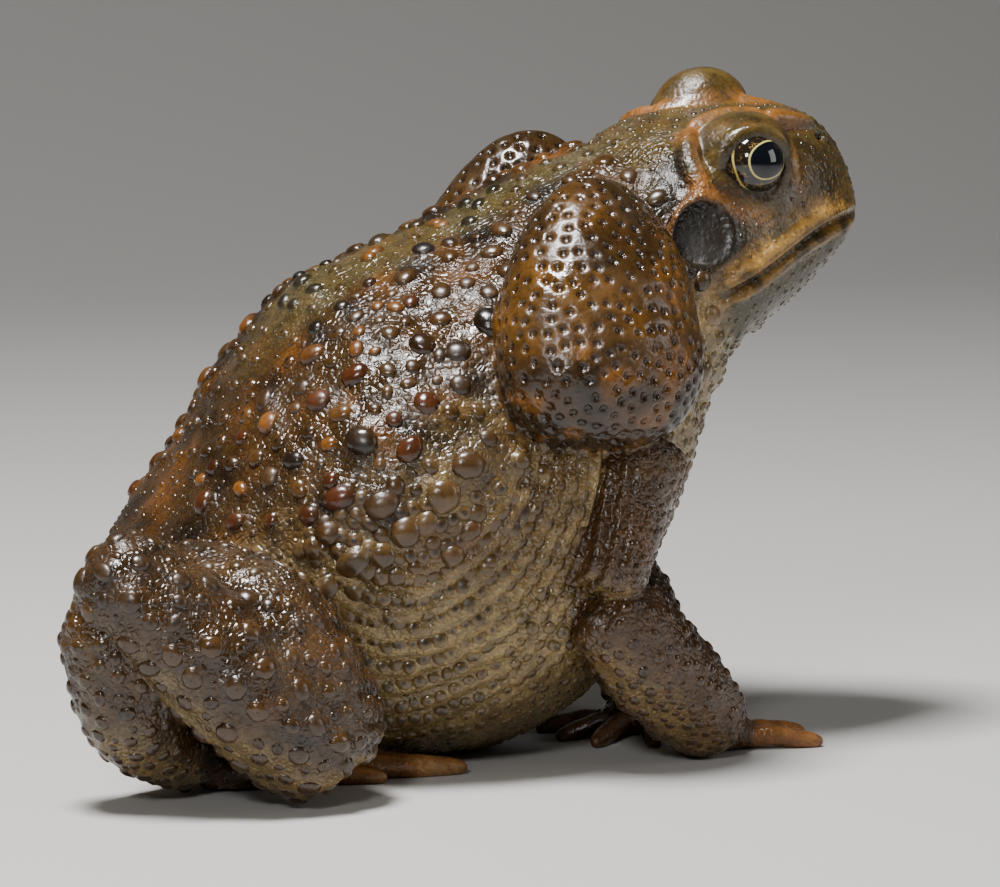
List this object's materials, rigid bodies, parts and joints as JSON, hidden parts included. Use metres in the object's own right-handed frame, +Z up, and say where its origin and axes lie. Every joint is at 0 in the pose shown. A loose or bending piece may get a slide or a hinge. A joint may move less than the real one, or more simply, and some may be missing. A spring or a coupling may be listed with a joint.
{
  "type": "cane toad model",
  "caption": "Still life-size model of a large adult cane toad sitting upright, warty wet brown skin, big shoulder glands, bony head ridges and dark gold-ringed eyes",
  "frame": {"origin": "on the floor under the middle of the toad's bounding box", "axes": "+X is forward, toward the snout; +Y is the toad's left; +Z is up"},
  "size_m": [0.1486, 0.1264, 0.1143],
  "materials": {
    "back_skin": "wet, warty",
    "head_skin": "wet, fine grained",
    "gland_skin": "wet, pitted",
    "limb_skin": "wet, warty",
    "digit_skin": "moist, smooth",
    "eye": "glossy, clear front"
  },
  "bodies": {
    "root": {"trunk": "back_skin", "head": "head_skin", "eye_right": "eye", "eye_left": "eye", "parotoid_right": "gland_skin", "parotoid_left": "gland_skin", "upper_arm_right": "limb_skin", "upper_arm_left": "limb_skin", "forearm_right": "limb_skin", "forearm_left": "limb_skin", "hand_right": "digit_skin", "hand_left": "digit_skin", "thigh_right": "limb_skin", "thigh_left": "limb_skin", "shank_right": "limb_skin", "shank_left": "limb_skin", "tarsus_right": "limb_skin", "tarsus_left": "limb_skin", "foot_right": "digit_skin", "foot_left": "digit_skin"}
  },
  "joints": []
}
